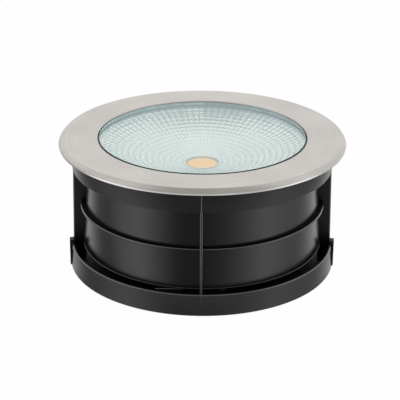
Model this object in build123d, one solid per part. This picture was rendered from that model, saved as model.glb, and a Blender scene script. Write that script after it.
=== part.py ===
from build123d import *
import math
import os

os.makedirs("parts", exist_ok=True)

# Driving dimensions, in millimetres and degrees

# Light source stack
phosphor_diameter = 24.6
phosphor_thickness = 0.8
phosphor_recess = 0.1
board_margin = 3.0
board_thickness = 1.5
pad_thickness = 0.5
holder_clearance = 0.3
holder_screw_inset = 5.7
holder_edge = 6.0

# Reflector: a dish of flat facets in rings and columns, with a plain band at the rim and at the neck
reflector_diameter = 182.0
reflector_depth = 17.8
reflector_wall = 1.0
reflector_flange_width = 2.6
reflector_clearance = 0.3
reflector_rings = 14
reflector_columns = 90
plain_rim = 2.3
plain_neck = 2.8
dish_start_slope = 0.35
aperture_margin = 2.4
neck_wall = 2.5
neck_gap = 0.2

# Stepped glass, held by its flange under the face ring, and the soft rings that seal the lamp
glass_thickness = 8.0
glass_flange_thickness = 4.0
glass_step_width = 7.5
glass_arris = 0.6
glass_clearance = 0.4
glass_gasket_thickness = 4.2
glass_gasket_width = 3.6
glass_gasket_lip = 0.5
body_seal_thickness = 1.0
seat_gasket_thickness = 1.0
seat_gasket_width = 6.0

# Face ring: flat plate with a bevelled rim, a turned-down lip and a deep skirt round the glass flange
face_thickness = 3.0
flange_overhang = 11.3
bevel_width = 3.2
bevel_drop = 3.9
bevel_bulge = 0.5
lip_edge = 1.1
lip_wall = 2.5
skirt_edge = 2.4

# Lamp housing: cast cup with cooling fins, a floor that carries the light source and a driver chamber
housing_wall = 5.0
housing_flange_thickness = 8.0
chamber_inset = 6.0
rim_step = 4.5
floor_thickness = 6.0
wiring_room = 12.9
cooling_fin_count = 36
cooling_fin_thickness = 2.2
cooling_fin_height = 5.0
boss_diameter = 10.0
boss_inset = 4.0

# Rear cover
cover_thickness = 5.0
cover_chamfer = 1.2
cover_gasket_thickness = 1.5
cover_gasket_overlap = 1.0

# Screws
face_screw_count = 6
face_screw_diameter = 4.0
face_screw_cover = 4.2
cover_screw_count = 6
cover_screw_diameter = 3.5
cover_screw_grip = 10.0
small_screw_diameter = 3.0
small_screw_cover = 2.0
screw_clearance = 0.1
head_clearance = 0.3
head_diameter_ratio = 1.7
head_height_ratio = 0.6
socket_ratio = 0.8

# Driver and terminal block
driver_length = 92.0
driver_width = 46.0
driver_height = 26.0
driver_corner = 4.0
driver_ear = 9.0
driver_ear_width = 23.0
driver_ear_thickness = 3.0
driver_offset = 16.0
terminal_gap = 20.0
terminal_length = 34.0
terminal_width = 18.0
terminal_height = 15.0
terminal_base = 5.0
terminal_ways = 3
terminal_port = 5.0

# Cable gland
gland_bore = 7.5
gland_seal_wall = 1.75
gland_thread_wall = 2.35
gland_hex_wall = 3.0
gland_flange_thickness = 5.0
gland_thread_length = 9.0
gland_nut_face = 2.0
gland_washer_thickness = 1.0
lock_nut_thickness = 4.0
gland_clearance = 0.15

# Retaining springs
spring_count = 3
spring_start = 90.0
spring_width = 9.0
spring_thickness = 0.8
spring_foot = 16.0
spring_rise = 20.0
spring_tip_gap = 8.0
spring_pad_height = 1.0
spring_side_clearance = 1.0
spring_running_clearance = 0.4

# Mounting sleeve: collar, tapered tube, hoop, fins and base ring in one moulding
sleeve_clearance = 3.2
shoulder_gap = 2.6
collar_overhang = 13.0
collar_wall = 2.5
tube_wall = 2.5
tube_taper = 4.3
tube_gap = 0.2
hoop_width = 4.6
hoop_thickness = 2.2
hoop_height = 56.2
sleeve_fin_count = 4
sleeve_fin_thickness = 2.3
sleeve_fin_setback = 0.1
base_ring_gap = 7.9
base_ring_height = 18.3
base_ring_wall = 2.4
base_ring_taper = 1.5
base_ring_round = 0.5

# Drain cover clipped under the sleeve
cable_room = 8.7
drain_plate_thickness = 2.5
drain_clearance = 0.4
drain_hole_diameter = 24.0
drain_slot_count = 12
drain_slot_length = 30.0
drain_slot_width = 6.0
drain_slot_radius = 62.0
clip_lead = 4.3
clip_width = 19.1
clip_wall = 0.9
clip_height = 13.1
clip_clearance = 0.1
finger_width = 6.5
finger_hook = 2.7
guide_wall_thickness = 2.0
guide_wall_drop = 1.0
guide_gap_left = 14.7
guide_gap_right = 34.0
guide_notch_width = 7.0
guide_notch_depth = 10.0
guide_notch_place = 12.0

# Radii, from the light source outwards
phosphor_radius = phosphor_diameter / 2
board_side = phosphor_diameter + 2 * board_margin
pocket_side = board_side + 2 * holder_clearance
holder_screw_place = pocket_side / 2 + holder_screw_inset
holder_radius = holder_screw_place + holder_edge
aperture_radius = phosphor_radius + aperture_margin
neck_radius = aperture_radius + neck_wall
reflector_radius = reflector_diameter / 2
reflector_flange_radius = reflector_radius + reflector_flange_width
facet_inner_radius = aperture_radius + plain_neck
facet_outer_radius = reflector_radius - plain_rim
rim_pocket_radius = reflector_radius + reflector_wall + reflector_clearance
flange_pocket_radius = reflector_flange_radius + reflector_clearance
glass_flange_radius = flange_pocket_radius + glass_gasket_width
glass_radius = glass_flange_radius - glass_step_width
opening_radius = glass_radius + glass_clearance
glass_seat_radius = glass_flange_radius + glass_clearance
face_screw_place = glass_seat_radius + skirt_edge + face_screw_diameter / 2
skirt_radius = face_screw_place + face_screw_diameter / 2 + skirt_edge
chamber_radius = reflector_radius - chamber_inset
housing_radius = chamber_radius + housing_wall
cover_screw_place = chamber_radius - boss_inset
tube_top_radius = housing_radius + cooling_fin_height + sleeve_clearance + tube_wall
tube_bottom_radius = tube_top_radius + tube_taper
collar_radius = tube_top_radius + collar_overhang
flange_radius = collar_radius + flange_overhang
ring_top_radius = tube_bottom_radius + base_ring_gap + base_ring_wall
ring_bottom_radius = ring_top_radius + base_ring_taper
gland_seal_radius = gland_bore / 2 + gland_seal_wall
gland_thread_radius = gland_seal_radius + gland_clearance + gland_thread_wall
gland_hex = 2 * (gland_thread_radius + gland_hex_wall)

# Heights, from the base upwards
gland_nut_bottom = drain_plate_thickness + cable_room
gland_seal_bottom = gland_nut_bottom + gland_nut_face
gland_thread_bottom = gland_seal_bottom + gland_nut_face
gland_flange_bottom = gland_thread_bottom + gland_thread_length
gland_flange_top = gland_flange_bottom + gland_flange_thickness
cover_bottom = gland_flange_top + gland_washer_thickness
cover_top = cover_bottom + cover_thickness
lock_nut_top = cover_top + lock_nut_thickness
housing_bottom = cover_top + cover_gasket_thickness
floor_under = housing_bottom + driver_height + wiring_room
floor_top = floor_under + floor_thickness
pad_top = floor_top + pad_thickness
board_top = pad_top + board_thickness
phosphor_top = board_top + phosphor_thickness
holder_top = phosphor_top + phosphor_recess
aperture_top = holder_top + neck_gap + reflector_wall
reflector_top = aperture_top + reflector_depth
reflector_seat = reflector_top - reflector_wall
housing_top = reflector_top + reflector_clearance
housing_flange_bottom = housing_top - housing_flange_thickness
skirt_bottom = housing_top + body_seal_thickness
glass_bottom = housing_top + glass_gasket_thickness
glass_step = glass_bottom + glass_flange_thickness
glass_seat = glass_step + glass_gasket_lip
face_top = glass_bottom + glass_thickness
flange_under = face_top - face_thickness
lip_bottom = face_top - bevel_drop - lip_edge
spring_tip = housing_flange_bottom - spring_tip_gap
spring_foot_top = spring_tip - spring_rise
spring_foot_bottom = spring_foot_top - spring_foot
spring_screw_height = spring_foot_bottom + spring_foot / 2
collar_top = flange_under - seat_gasket_thickness
shoulder_top = housing_flange_bottom - shoulder_gap
collar_bottom = shoulder_top - collar_wall
tube_bottom = base_ring_height + tube_gap


def turned(*corners):
    """Solid of revolution about Z from (radius, height) corners."""
    outline = Polyline(*[(radius, 0, height) for radius, height in corners], close=True)
    return revolve(make_face(outline), axis=Axis.Z)


def washer(outer, inner, bottom, top):
    """Flat ring between two radii and two heights."""
    return turned((inner, bottom), (outer, bottom), (outer, top), (inner, top))


def rod(radius, bottom, top):
    """Upright cylinder on the axis between two heights."""
    return Pos(0, 0, bottom) * Cylinder(radius, top - bottom, align=(Align.CENTER, Align.CENTER, Align.MIN))


def block(length, width, bottom, top):
    """Upright box on the axis between two heights."""
    return extrude(Pos(0, 0, bottom) * Rectangle(length, width), top - bottom)


def hexagon(across_flats, bottom, top):
    """Upright hexagonal prism on the axis between two heights."""
    face = RegularPolygon(across_flats / 2, 6, major_radius=False)
    return extrude(Pos(0, 0, bottom) * face, top - bottom)


def around(shape, radius, count, start=0.0):
    """Copies of a shape set evenly on a circle about Z."""
    return [loc * shape for loc in PolarLocations(radius, count, start_angle=start)]


def head_height(diameter):
    """Height of a socket head for a screw of this diameter."""
    return head_height_ratio * diameter


def screw(diameter, length):
    """Socket-head screw pointing up: head below the XY plane, shank above it."""
    depth = head_height(diameter)
    body = rod(head_diameter_ratio * diameter / 2, -depth, 0) + rod(diameter / 2, 0, length)
    return body - hexagon(socket_ratio * diameter, -depth, -depth / 2)


def screw_hole(diameter, bottom, top):
    """Cutter for a screw shank, with the named clearance."""
    return rod(diameter / 2 + screw_clearance, bottom, top)


def head_recess(diameter, bottom, top):
    """Cutter for a screw head, with the named clearance."""
    return rod(head_diameter_ratio * diameter / 2 + head_clearance, bottom, top)


def tube_outer(height):
    """Outer radius of the tapered sleeve tube at a height."""
    share = (collar_bottom - height) / (collar_bottom - tube_bottom)
    return tube_top_radius + share * (tube_bottom_radius - tube_top_radius)


# Face ring
def make_face_ring():
    crease = (flange_radius - bevel_width, 0, face_top)
    shoulder = (flange_radius, 0, face_top - bevel_drop)
    run = math.hypot(bevel_width, bevel_drop)
    middle = (
        flange_radius - bevel_width / 2 + bevel_bulge * bevel_drop / run,
        0,
        face_top - bevel_drop / 2 + bevel_bulge * bevel_width / run,
    )
    lip_radius = flange_radius - lip_wall
    corners = [
        shoulder,
        (flange_radius, 0, lip_bottom),
        (lip_radius, 0, lip_bottom),
        (lip_radius, 0, flange_under),
        (skirt_radius, 0, flange_under),
        (skirt_radius, 0, skirt_bottom),
        (glass_seat_radius, 0, skirt_bottom),
        (glass_seat_radius, 0, glass_seat),
        (opening_radius, 0, glass_seat),
        (opening_radius, 0, face_top),
        crease,
    ]
    outline = Polyline(*corners) + ThreePointArc(crease, middle, shoulder)
    ring = revolve(make_face(outline), axis=Axis.Z)
    hole = screw_hole(face_screw_diameter, skirt_bottom, face_top - face_screw_cover)
    return ring - around(hole, face_screw_place, face_screw_count, 180 / face_screw_count)


def make_glass_lens():
    return turned(
        (0, glass_bottom),
        (glass_flange_radius - glass_arris, glass_bottom),
        (glass_flange_radius, glass_bottom + glass_arris),
        (glass_flange_radius, glass_step - glass_arris),
        (glass_flange_radius - glass_arris, glass_step),
        (glass_radius, glass_step),
        (glass_radius, face_top - glass_arris),
        (glass_radius - glass_arris, face_top),
        (0, face_top),
    )


def make_glass_gasket():
    return turned(
        (flange_pocket_radius, housing_top),
        (glass_seat_radius, housing_top),
        (glass_seat_radius, glass_seat),
        (opening_radius + glass_gasket_lip, glass_seat),
        (opening_radius + glass_gasket_lip, glass_step),
        (glass_flange_radius, glass_step),
        (glass_flange_radius, glass_bottom),
        (flange_pocket_radius, glass_bottom),
    )


def make_body_seal():
    seal = washer(skirt_radius, glass_seat_radius, housing_top, skirt_bottom)
    hole = screw_hole(face_screw_diameter, housing_top, skirt_bottom)
    return seal - around(hole, face_screw_place, face_screw_count, 180 / face_screw_count)


def make_seat_gasket():
    middle = collar_radius - collar_wall / 2
    half = seat_gasket_width / 2
    return washer(middle + half, middle - half, collar_top, flange_under)


# Reflector: the dish rises slowly near the light source and more steeply near the rim
def dish_height(radius):
    share = (radius - aperture_radius) / (reflector_radius - aperture_radius)
    return aperture_top + reflector_depth * (dish_start_slope * share + (1 - dish_start_slope) * share**2)


def make_reflector():
    ring_width = (facet_outer_radius - facet_inner_radius) / reflector_rings
    radii = [facet_inner_radius + ring * ring_width for ring in range(reflector_rings + 1)]
    facet_rings = []
    back = [(0, holder_top), (neck_radius, holder_top), (neck_radius, holder_top + neck_gap)]
    for radius in [aperture_radius, *radii, reflector_radius]:
        height = dish_height(radius)
        facet_rings.append(Pos(0, 0, height) * RegularPolygon(radius, reflector_columns))
        if radius > neck_radius:
            back.append((radius + reflector_wall, height - reflector_wall))
    back += [(reflector_flange_radius, reflector_seat), (reflector_flange_radius, reflector_top)]
    back.append((0, reflector_top))
    return turned(*back) - loft(facet_rings, ruled=True) - rod(aperture_radius, holder_top, aperture_top)


# Light source
def make_thermal_pad():
    return block(board_side, board_side, floor_top, pad_top)


def make_cob_board():
    return block(board_side, board_side, pad_top, board_top)


def make_cob_phosphor():
    return rod(phosphor_radius, board_top, phosphor_top)


def make_cob_holder():
    frame = rod(holder_radius, floor_top, holder_top)
    pocket = block(pocket_side, pocket_side, floor_top, board_top)
    window = rod(phosphor_radius + holder_clearance, board_top, holder_top)
    hole = screw_hole(small_screw_diameter, floor_top, holder_top)
    recess = head_recess(small_screw_diameter, holder_top - head_height(small_screw_diameter), holder_top)
    return frame - pocket - window - around(hole + recess, holder_screw_place, 2)


def make_holder_screws():
    seat = holder_top - head_height(small_screw_diameter)
    one = Rot(180, 0, 0) * screw(small_screw_diameter, seat - floor_under - small_screw_cover)
    return around(Pos(0, 0, seat) * one, holder_screw_place, 2)


# Lamp housing
def make_lamp_housing():
    cup = turned(
        (skirt_radius, housing_top),
        (skirt_radius, housing_flange_bottom),
        (housing_radius, housing_flange_bottom),
        (housing_radius, housing_bottom),
        (chamber_radius, housing_bottom),
        (chamber_radius, floor_under),
        (0, floor_under),
        (0, floor_top),
        (chamber_radius, floor_top),
        (chamber_radius, reflector_top - rim_step),
        (rim_pocket_radius, reflector_top - rim_step),
        (rim_pocket_radius, reflector_seat),
        (flange_pocket_radius, reflector_seat),
        (flange_pocket_radius, housing_top),
    )
    root = housing_wall / 2
    fin = block(cooling_fin_height + root, cooling_fin_thickness, housing_bottom, housing_flange_bottom)
    fin = Pos((cooling_fin_height - root) / 2, 0, 0) * fin
    cup += around(fin, housing_radius, cooling_fin_count, 180 / cooling_fin_count)
    slot_width = spring_width + 2 * spring_side_clearance
    slot = block(cooling_fin_height, slot_width, housing_bottom, housing_flange_bottom)
    slot = Pos(cooling_fin_height / 2, 0, 0) * slot
    cup -= around(slot, housing_radius, spring_count, spring_start)
    pad = block(spring_pad_height + root, spring_width, spring_foot_bottom, spring_foot_top)
    pad = Pos((spring_pad_height - root) / 2, 0, 0) * pad
    cup += around(pad, housing_radius, spring_count, spring_start)
    boss = rod(boss_diameter / 2, housing_bottom, floor_under)
    cup += around(boss, cover_screw_place, cover_screw_count)
    face_seat = housing_flange_bottom + head_height(face_screw_diameter)
    face_hole = screw_hole(face_screw_diameter, face_seat, housing_top)
    face_recess = head_recess(face_screw_diameter, housing_flange_bottom, face_seat)
    cup -= around(face_hole + face_recess, face_screw_place, face_screw_count, 180 / face_screw_count)
    cover_hole_top = housing_bottom + cover_screw_grip + screw_clearance
    cover_hole = screw_hole(cover_screw_diameter, housing_bottom, cover_hole_top)
    cup -= around(cover_hole, cover_screw_place, cover_screw_count)
    holder_hole = screw_hole(small_screw_diameter, floor_under + small_screw_cover, floor_top)
    cup -= around(holder_hole, holder_screw_place, 2)
    under_hole = screw_hole(small_screw_diameter, floor_under, floor_top - small_screw_cover)
    cup -= [Pos(x, y, 0) * under_hole for x, y in driver_screw_places() + terminal_screw_places()]
    spring_hole = Rot(0, 90, 0) * screw_hole(small_screw_diameter, -root, spring_pad_height)
    spring_hole = Pos(0, 0, spring_screw_height) * spring_hole
    return cup - around(spring_hole, housing_radius, spring_count, spring_start)


def make_face_screws():
    seat = housing_flange_bottom + head_height(face_screw_diameter)
    one = Pos(0, 0, seat) * screw(face_screw_diameter, face_top - face_screw_cover - screw_clearance - seat)
    return around(one, face_screw_place, face_screw_count, 180 / face_screw_count)


# Driver chamber
def driver_screw_places():
    reach = driver_length / 2 + driver_ear / 2
    return [(reach, -driver_offset), (-reach, -driver_offset)]


def terminal_place():
    """Distance of the terminal block from the axis, beside the driver."""
    return driver_width / 2 - driver_offset + terminal_gap + terminal_width / 2


def terminal_screw_places():
    reach = terminal_length / 2 - terminal_port
    return [(reach, terminal_place()), (-reach, terminal_place())]


def make_led_driver():
    body = extrude(RectangleRounded(driver_length, driver_width, driver_corner), driver_height)
    ears = RectangleRounded(driver_length + 2 * driver_ear, driver_ear_width, driver_corner)
    foot = extrude(ears, driver_ear_thickness)
    hole = screw_hole(small_screw_diameter, floor_under - driver_ear_thickness, floor_under)
    case = Pos(0, -driver_offset, floor_under - driver_height) * body
    case += Pos(0, -driver_offset, floor_under - driver_ear_thickness) * foot
    return case - [Pos(x, y, 0) * hole for x, y in driver_screw_places()]


def under_floor_screw(clamped):
    """Screw up into the housing floor through a clamped thickness."""
    return Pos(0, 0, floor_under - clamped) * screw(
        small_screw_diameter, clamped + floor_thickness - small_screw_cover - screw_clearance
    )


def make_driver_screws():
    return [Pos(x, y, 0) * under_floor_screw(driver_ear_thickness) for x, y in driver_screw_places()]


def make_terminal_block():
    bottom = floor_under - terminal_height
    body = Pos(0, terminal_place(), 0) * block(terminal_length, terminal_width, bottom, floor_under)
    pitch = terminal_length / (terminal_ways + 1)
    port = Rot(90, 0, 0) * Cylinder(terminal_port / 2, 2 * terminal_width)
    ports = [
        Pos((way - (terminal_ways - 1) / 2) * pitch, terminal_place(), bottom + terminal_port) * port
        for way in range(terminal_ways)
    ]
    seat = floor_under - terminal_base
    hole = screw_hole(small_screw_diameter, seat, floor_under)
    recess = head_recess(small_screw_diameter, bottom, seat)
    return body - ports - [Pos(x, y, 0) * (hole + recess) for x, y in terminal_screw_places()]


def make_terminal_screws():
    return [Pos(x, y, 0) * under_floor_screw(terminal_base) for x, y in terminal_screw_places()]


# Rear cover
def make_cover_gasket():
    inner = cover_screw_place - boss_diameter / 2 - cover_gasket_overlap
    gasket = washer(housing_radius, inner, cover_top, housing_bottom)
    hole = screw_hole(cover_screw_diameter, cover_top, housing_bottom)
    return gasket - around(hole, cover_screw_place, cover_screw_count)


def make_rear_cover():
    plate = rod(housing_radius, cover_bottom, cover_top)
    plate = chamfer(plate.edges().group_by(Axis.Z)[0], cover_chamfer)
    hole = screw_hole(cover_screw_diameter, cover_bottom, cover_top)
    seat = cover_bottom + head_height(cover_screw_diameter)
    recess = head_recess(cover_screw_diameter, cover_bottom, seat)
    gland_hole = rod(gland_thread_radius + gland_clearance, cover_bottom, cover_top)
    return plate - around(hole + recess, cover_screw_place, cover_screw_count) - gland_hole


def make_cover_screws():
    seat = cover_bottom + head_height(cover_screw_diameter)
    one = Pos(0, 0, seat) * screw(cover_screw_diameter, housing_bottom - seat + cover_screw_grip)
    return around(one, cover_screw_place, cover_screw_count)


# Cable gland: washer, body, rubber seal, dome nut outside and lock nut inside
def make_gland_washer():
    return washer(gland_hex / 2, gland_thread_radius + gland_clearance, gland_flange_top, cover_bottom)


def make_gland_body():
    body = hexagon(gland_hex, gland_flange_bottom, gland_flange_top)
    body += rod(gland_thread_radius, gland_thread_bottom, gland_flange_bottom)
    body += rod(gland_thread_radius, gland_flange_top, lock_nut_top)
    body -= rod(gland_seal_radius + gland_clearance, gland_thread_bottom, gland_flange_bottom)
    return body - rod(gland_bore / 2, gland_flange_bottom, lock_nut_top)


def make_gland_seal():
    return washer(gland_seal_radius, gland_bore / 2, gland_seal_bottom, gland_flange_bottom)


def make_gland_nut():
    nut = hexagon(gland_hex, gland_thread_bottom, gland_flange_bottom)
    dome = rod(gland_hex / 2, gland_nut_bottom, gland_thread_bottom)
    nut += fillet(dome.edges().group_by(Axis.Z)[0], gland_nut_face)
    nut -= rod(gland_thread_radius + gland_clearance, gland_seal_bottom, gland_flange_bottom)
    return nut - rod(gland_bore / 2, gland_nut_bottom, gland_seal_bottom)


def make_lock_nut():
    nut = hexagon(gland_hex, cover_top, lock_nut_top)
    return nut - rod(gland_thread_radius + gland_clearance, cover_top, lock_nut_top)


# Retaining springs: bowed leaves that hold the lamp in the sleeve by friction
def make_retaining_spring():
    inside = housing_radius + spring_pad_height
    outside = inside + spring_thickness
    reach = tube_outer(shoulder_top) - tube_wall - spring_running_clearance
    crown = spring_foot_top + spring_rise / 2
    outline = Polyline(
        (inside, 0, spring_foot_top),
        (inside, 0, spring_foot_bottom),
        (outside, 0, spring_foot_bottom),
        (outside, 0, spring_foot_top),
    )
    outline += ThreePointArc((outside, 0, spring_foot_top), (reach, 0, crown), (outside, 0, spring_tip))
    outline += Line((outside, 0, spring_tip), (inside, 0, spring_tip))
    inner_reach = reach - spring_thickness
    outline += ThreePointArc((inside, 0, spring_tip), (inner_reach, 0, crown), (inside, 0, spring_foot_top))
    leaf = extrude(make_face(outline), spring_width / 2, both=True)
    hole = Rot(0, 90, 0) * screw_hole(small_screw_diameter, inside, outside)
    return leaf - Pos(0, 0, spring_screw_height) * hole


def make_spring_screws():
    seat = housing_radius + spring_pad_height + spring_thickness
    length = spring_thickness + spring_pad_height + housing_wall / 4
    one = Pos(seat, 0, spring_screw_height) * Rot(0, -90, 0) * screw(small_screw_diameter, length)
    return around(one, 0, spring_count, spring_start)


# Mounting sleeve
def make_sleeve():
    hoop_radius = tube_outer(hoop_height) + hoop_width
    hoop_bottom = hoop_height - hoop_thickness
    tube = turned(
        (collar_radius, collar_bottom),
        (collar_radius, collar_top),
        (collar_radius - collar_wall, collar_top),
        (collar_radius - collar_wall, shoulder_top),
        (tube_outer(shoulder_top) - tube_wall, shoulder_top),
        (tube_bottom_radius - tube_wall, tube_bottom),
        (tube_bottom_radius, tube_bottom),
        (tube_outer(hoop_bottom), hoop_bottom),
        (hoop_radius, hoop_bottom),
        (hoop_radius, hoop_height),
        (tube_outer(hoop_height), hoop_height),
        (tube_top_radius, collar_bottom),
    )
    base_ring = turned(
        (ring_bottom_radius - base_ring_wall, 0),
        (ring_bottom_radius, 0),
        (ring_top_radius, base_ring_height),
        (ring_top_radius - base_ring_wall, base_ring_height),
    )
    base_ring = fillet(base_ring.edges().group_by(Axis.Z)[-1].sort_by(SortBy.LENGTH)[-1], base_ring_round)
    fin_low_radius = ring_top_radius - base_ring_round - sleeve_fin_setback
    fin_bottom = drain_plate_thickness + drain_clearance
    outline = Polyline(
        (tube_bottom_radius - tube_wall / 2, 0, fin_bottom),
        (fin_low_radius, 0, fin_bottom),
        (fin_low_radius, 0, base_ring_height),
        (collar_radius - sleeve_fin_setback, 0, shoulder_top),
        (tube_outer(shoulder_top) - tube_wall / 2, 0, shoulder_top),
        (tube_bottom_radius - tube_wall / 2, 0, tube_bottom),
        close=True,
    )
    fin = extrude(make_face(outline), sleeve_fin_thickness / 2, both=True)
    notch = clip_sector(
        (ring_bottom_radius - 2 * base_ring_wall, 0),
        (ring_bottom_radius + base_ring_wall, drain_plate_thickness + drain_clearance),
        clip_width + 2 * drain_clearance,
    )
    return tube + base_ring + around(fin, 0, sleeve_fin_count) - clip_pair(notch)


# Drain cover: slotted plate, a wall that guides the cable and two clips, each with a hooked finger
def clip_sector(low, high, width):
    """Curved piece across the +X axis between two (radius, height) corners."""
    window = Pos(high[0], 0, 0) * block(high[0], width, low[1], high[1])
    return washer(high[0], low[0], low[1], high[1]) & window


def clip_pair(shape):
    """A shape made across the +X axis, set a little in front of the fin on each side."""
    right = Rot(0, 0, -clip_lead) * shape
    return [right, mirror(right, about=Plane.YZ)]


def make_drain_cover():
    plate_radius = ring_bottom_radius - base_ring_wall - drain_clearance
    plate = rod(plate_radius, 0, drain_plate_thickness)
    plate -= rod(drain_hole_diameter / 2, 0, drain_plate_thickness)
    slot = extrude(SlotOverall(drain_slot_length, drain_slot_width), drain_plate_thickness)
    plate -= around(slot, drain_slot_radius, drain_slot_count, 180 / drain_slot_count)
    inner = ring_bottom_radius + clip_clearance
    outer = inner + clip_wall
    hook_radius = ring_top_radius - base_ring_wall / 2
    hook_top = base_ring_height + finger_hook
    clip = clip_sector((plate_radius - drain_clearance, 0), (outer, drain_plate_thickness), clip_width)
    clip += clip_sector((inner, 0), (outer, clip_height), clip_width)
    clip += clip_sector((inner, clip_height), (outer, hook_top), finger_width)
    clip += clip_sector((hook_radius, base_ring_height), (outer, hook_top), finger_width)
    wall_place = tube_wall + guide_wall_thickness - tube_bottom_radius
    half_chord = math.sqrt(plate_radius**2 - wall_place**2)
    wall_length = 2 * half_chord - guide_gap_left - guide_gap_right
    wall_top = base_ring_height - guide_wall_drop
    wall = block(wall_length, guide_wall_thickness, 0, wall_top)
    wall_shift = (guide_gap_left - guide_gap_right) / 2
    notch = block(guide_notch_width, 2 * guide_wall_thickness, wall_top - guide_notch_depth, wall_top)
    wall = Pos(wall_shift, wall_place, 0) * wall - Pos(-guide_notch_place, wall_place, 0) * notch
    return plate + clip_pair(clip) + wall


pieces = {
    "face_ring": make_face_ring(),
    "glass_lens": make_glass_lens(),
    "glass_gasket": make_glass_gasket(),
    "body_seal": make_body_seal(),
    "seat_gasket": make_seat_gasket(),
    "reflector": make_reflector(),
    "thermal_pad": make_thermal_pad(),
    "cob_board": make_cob_board(),
    "cob_phosphor": make_cob_phosphor(),
    "cob_holder": make_cob_holder(),
    "holder_screws": make_holder_screws(),
    "lamp_housing": make_lamp_housing(),
    "face_screws": make_face_screws(),
    "led_driver": make_led_driver(),
    "driver_screws": make_driver_screws(),
    "terminal_block": make_terminal_block(),
    "terminal_screws": make_terminal_screws(),
    "cover_gasket": make_cover_gasket(),
    "rear_cover": make_rear_cover(),
    "cover_screws": make_cover_screws(),
    "gland_washer": make_gland_washer(),
    "gland_body": make_gland_body(),
    "gland_seal": make_gland_seal(),
    "gland_nut": make_gland_nut(),
    "lock_nut": make_lock_nut(),
    "spring_screws": make_spring_screws(),
    "sleeve": make_sleeve(),
    "drain_cover": make_drain_cover(),
}
for number, spring in enumerate(around(make_retaining_spring(), 0, spring_count, spring_start), 1):
    pieces[f"retaining_spring_{number}"] = spring

for name, shape in pieces.items():
    solid = Compound(children=list(shape)) if isinstance(shape, list) else shape
    export_step(solid, f"parts/{name}.step")
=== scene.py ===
# %% [markdown]
# # A round deck light, dressed in Blender
# The lamp sits in a black plastic sleeve that is buried in the ground, and only its steel
# face and glass show when it is in use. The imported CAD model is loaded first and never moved.
# Everything after that is skin: new pieces stand where the CAD solids stand, and materials
# give each node its finish. Lengths on the object are in millimetres and become metres once,
# when a mesh is made. The studio and the depth of a bump are in metres.

# %% Load the frame
import math

import bmesh
import bpy
from mathutils import Matrix, Vector


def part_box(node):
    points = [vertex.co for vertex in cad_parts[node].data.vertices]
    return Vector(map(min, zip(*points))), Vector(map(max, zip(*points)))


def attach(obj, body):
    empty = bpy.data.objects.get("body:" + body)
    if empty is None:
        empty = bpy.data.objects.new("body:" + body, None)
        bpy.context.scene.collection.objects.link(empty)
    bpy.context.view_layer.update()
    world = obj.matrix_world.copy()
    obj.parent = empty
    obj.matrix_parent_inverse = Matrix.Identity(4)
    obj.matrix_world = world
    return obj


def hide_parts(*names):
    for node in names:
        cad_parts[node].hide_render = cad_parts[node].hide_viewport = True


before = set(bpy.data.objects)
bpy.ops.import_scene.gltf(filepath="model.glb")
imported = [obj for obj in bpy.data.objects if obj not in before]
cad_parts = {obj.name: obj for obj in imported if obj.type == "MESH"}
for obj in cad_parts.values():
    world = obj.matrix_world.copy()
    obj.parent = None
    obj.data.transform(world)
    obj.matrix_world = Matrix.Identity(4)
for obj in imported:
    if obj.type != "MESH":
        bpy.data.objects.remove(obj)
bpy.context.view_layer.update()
MM = 0.001

# %% [markdown]
# ## The camera
# The photograph was taken from a little over a metre away with a long lens, looking down at
# about 23 degrees. A long lens keeps the ellipses of the face and of the base almost alike.
# A camera can be turned with Euler angles or made to track a target. Here its three axes are
# built as vectors and put in a matrix, because then the small roll is a plain mix of two axes.

# %% Camera
SENSOR_WIDTH = 36.0
FOCAL_PIXELS = 1479.56
IMAGE_PIXELS = 400
CAMERA_PLACE = Vector((-4.163, -1208.863, 562.851)) * MM
CAMERA_PITCH, CAMERA_YAW, CAMERA_ROLL = (math.radians(a) for a in (22.791, 0.111, 0.324))

forward = Vector((
    math.sin(CAMERA_YAW) * math.cos(CAMERA_PITCH),
    math.cos(CAMERA_YAW) * math.cos(CAMERA_PITCH),
    -math.sin(CAMERA_PITCH),
))
level_right = Vector((math.cos(CAMERA_YAW), -math.sin(CAMERA_YAW), 0))
level_up = level_right.cross(forward)
right = math.cos(CAMERA_ROLL) * level_right + math.sin(CAMERA_ROLL) * level_up
up = math.cos(CAMERA_ROLL) * level_up - math.sin(CAMERA_ROLL) * level_right

camera_data = bpy.data.cameras.new("camera")
camera_data.sensor_width = SENSOR_WIDTH
camera_data.lens = SENSOR_WIDTH * FOCAL_PIXELS / IMAGE_PIXELS
camera = bpy.data.objects.new("camera", camera_data)
bpy.context.scene.collection.objects.link(camera)
turn = Matrix((right, up, -forward)).transposed().to_4x4()
camera.matrix_world = Matrix.Translation(CAMERA_PLACE) @ turn
bpy.context.scene.camera = camera
bpy.context.scene.view_settings.view_transform = "Standard"
print("camera lens", round(camera_data.lens, 2), "mm")

# %% [markdown]
# ## Small tools for node trees
# A material is a graph: nodes joined by links. Writing every node and link out in full hides
# the idea, so a few short helpers add a node, set its values and join sockets. A setting that
# is the same everywhere is written straight on the shader's socket.

# %% Node helpers
def add_node(tree, kind, settings=None, **values):
    """New node of a kind; settings are its properties, values its unlinked inputs by name."""
    node = tree.nodes.new(kind)
    for key, value in (settings or {}).items():
        setattr(node, key, value)
    for key, value in values.items():
        node.inputs[key.replace("_", " ")].default_value = value
    return node


def join(tree, source, target):
    """Link from an output socket to an input socket."""
    tree.links.new(source, target)


def calculate(tree, operation, *values):
    """Math node on sockets or plain numbers; gives its output socket."""
    node = add_node(tree, "ShaderNodeMath", {"operation": operation})
    for socket, value in zip(node.inputs, values):
        if isinstance(value, (int, float)):
            socket.default_value = value
        else:
            join(tree, value, socket)
    return node.outputs[0]


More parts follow.
